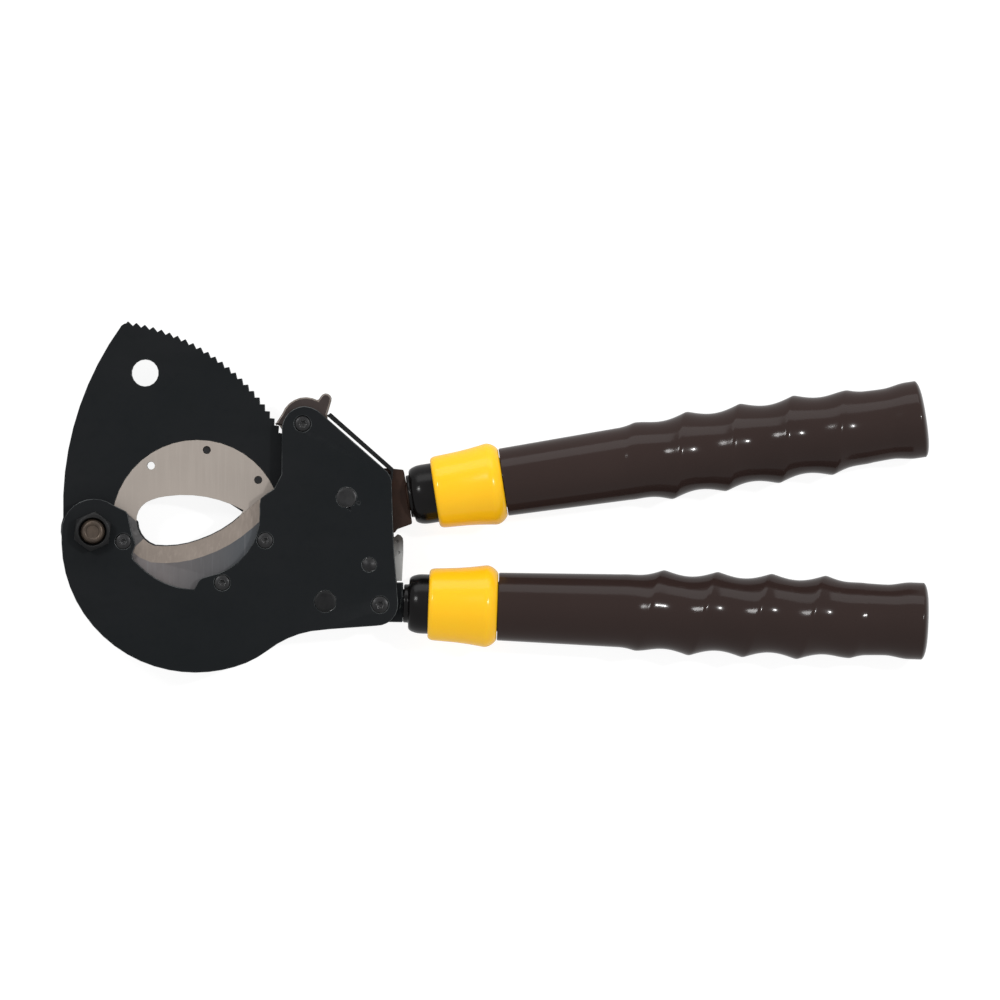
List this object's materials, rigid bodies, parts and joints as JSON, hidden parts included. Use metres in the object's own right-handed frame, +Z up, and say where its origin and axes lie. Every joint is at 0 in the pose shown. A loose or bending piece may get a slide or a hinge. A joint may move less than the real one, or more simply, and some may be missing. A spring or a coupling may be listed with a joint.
{
  "type": "ratchet cable cutter",
  "caption": "Two-handed ratchet cutter: a toothed moving blade swings against a fixed blade between two plates, with ribbed sleeve handles, a hold pawl and a handle catch.",
  "frame": {"origin": "middle of the base, on the plane that the tool lies on", "axes": "X runs from the cutting head to the handle ends, Y across the tool from the fixed handle to the moving handle, Z up out of the front plate"},
  "size_m": [0.4346, 0.1758, 0.0424],
  "materials": {
    "blackened_plate": "blackened steel plate, satin, fine rolled grain",
    "grey_ground_steel": "ground grey tool steel",
    "pale_ground_steel": "pale ground steel, slightly warm",
    "brown_steel": "brown tempered steel, satin",
    "bolt_steel": "turned steel with a brown cast",
    "blackened_steel": "black oxide steel",
    "grey_steel": "grey steel, satin",
    "fastener_steel": "dark machined steel",
    "bronze": "oiled bearing bronze",
    "yellow_plastic": "glossy yellow plastic",
    "brown_grip": "glossy dark brown plastic sleeve",
    "black_neck": "glossy black plastic"
  },
  "bodies": {
    "frame": {"front_plate": "blackened_plate", "rear_plate": "blackened_plate", "fixed_blade": "grey_ground_steel", "fixed_blade_screw_1": "fastener_steel", "fixed_blade_screw_2": "fastener_steel", "fixed_blade_screw_3": "fastener_steel", "pivot_bolt": "bolt_steel", "pivot_bolt_washer": "blackened_steel", "pivot_nut": "blackened_steel", "front_thrust_washer": "bronze", "rear_thrust_washer": "bronze", "blade_bush": "bronze", "handle_pivot_pin": "fastener_steel", "lever_washer": "bronze", "release_pawl_screw": "fastener_steel", "release_washer": "bronze", "release_spring": "blackened_steel", "spring_pin": "fastener_steel", "latch_pin": "fastener_steel", "frame_rivet": "blackened_steel", "frame_screw": "fastener_steel", "frame_nut": "fastener_steel", "fixed_handle_bar": "blackened_plate", "fixed_neck": "black_neck", "fixed_tube": "fastener_steel", "fixed_collar": "yellow_plastic", "fixed_grip": "brown_grip"},
    "blade": {"moving_blade": "blackened_plate", "blade_insert": "pale_ground_steel", "insert_screw_1": "fastener_steel", "insert_screw_2": "fastener_steel"},
    "moving_handle": {"moving_handle_lever": "brown_steel", "latch_stud": "fastener_steel", "drive_pawl_pin": "fastener_steel", "drive_pawl_spring": "fastener_steel", "moving_neck": "black_neck", "moving_tube": "fastener_steel", "moving_collar": "yellow_plastic", "moving_grip": "brown_grip"},
    "drive_pawl": {"drive_pawl": "grey_steel"},
    "release_pawl": {"release_pawl": "brown_steel"},
    "handle_latch": {"handle_latch": "grey_steel"}
  },
  "joints": [
    {"name": "blade_pivot", "type": "hinge", "parent": "frame", "child": "blade", "pos_m": [-0.20067, -0.01736, 0.0212], "axis": [0, 0, 1], "range_deg": [-41.81, 88.26]},
    {"name": "moving_handle_pivot", "type": "hinge", "parent": "frame", "child": "moving_handle", "pos_m": [-0.07412, -0.00031, 0.0212], "axis": [0, 0, 1], "range_deg": [-11, 28]},
    {"name": "drive_pawl_pivot", "type": "hinge", "parent": "moving_handle", "child": "drive_pawl", "pos_m": [-0.07567, -0.01436, 0.0212], "axis": [0, 0, 1], "range_deg": [-42, 16.5]},
    {"name": "release_pawl_pivot", "type": "hinge", "parent": "frame", "child": "release_pawl", "pos_m": [-0.09602, 0.03654, 0.0212], "axis": [0, 0, 1], "range_deg": [-15, 0], "stiffness_Nm_per_rad": 0.4, "springref_deg": 17.19},
    {"name": "handle_latch_pivot", "type": "hinge", "parent": "frame", "child": "handle_latch", "pos_m": [-0.06277, -0.03391, 0.0212], "axis": [0, 0, 1], "range_deg": [0, 12]}
  ],
  "couplings": [
    {"joint": "drive_pawl_pivot", "follows": "moving_handle_pivot", "ratio": -1.5}
  ]
}
